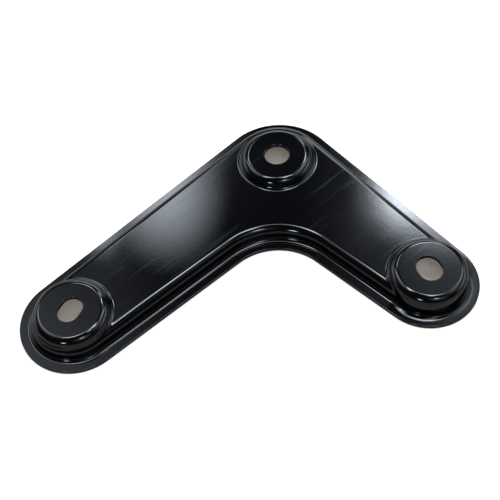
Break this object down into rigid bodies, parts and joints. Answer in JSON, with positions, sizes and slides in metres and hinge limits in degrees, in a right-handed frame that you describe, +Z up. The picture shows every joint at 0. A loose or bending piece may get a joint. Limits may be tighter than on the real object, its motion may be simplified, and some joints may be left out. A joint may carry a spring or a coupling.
{
  "type": "subframe mounting bracket",
  "caption": "Pressed steel elbow bracket, painted black: a raised body with a flat flange all round and a low round boss with a bolt hole at the corner and at each arm's end.",
  "frame": {"origin": "middle of the footprint, on the plane that the flange rests on", "axes": "+Z up through the bosses, +Y towards the corner boss, the two arms open towards -Y, and the longer arm points to -X"},
  "size_m": [0.2228, 0.1518, 0.0142],
  "materials": {
    "black_paint": "satin black paint with a soft gloss"
  },
  "bodies": {
    "root": {"subframe_bracket": "black_paint"}
  },
  "joints": []
}
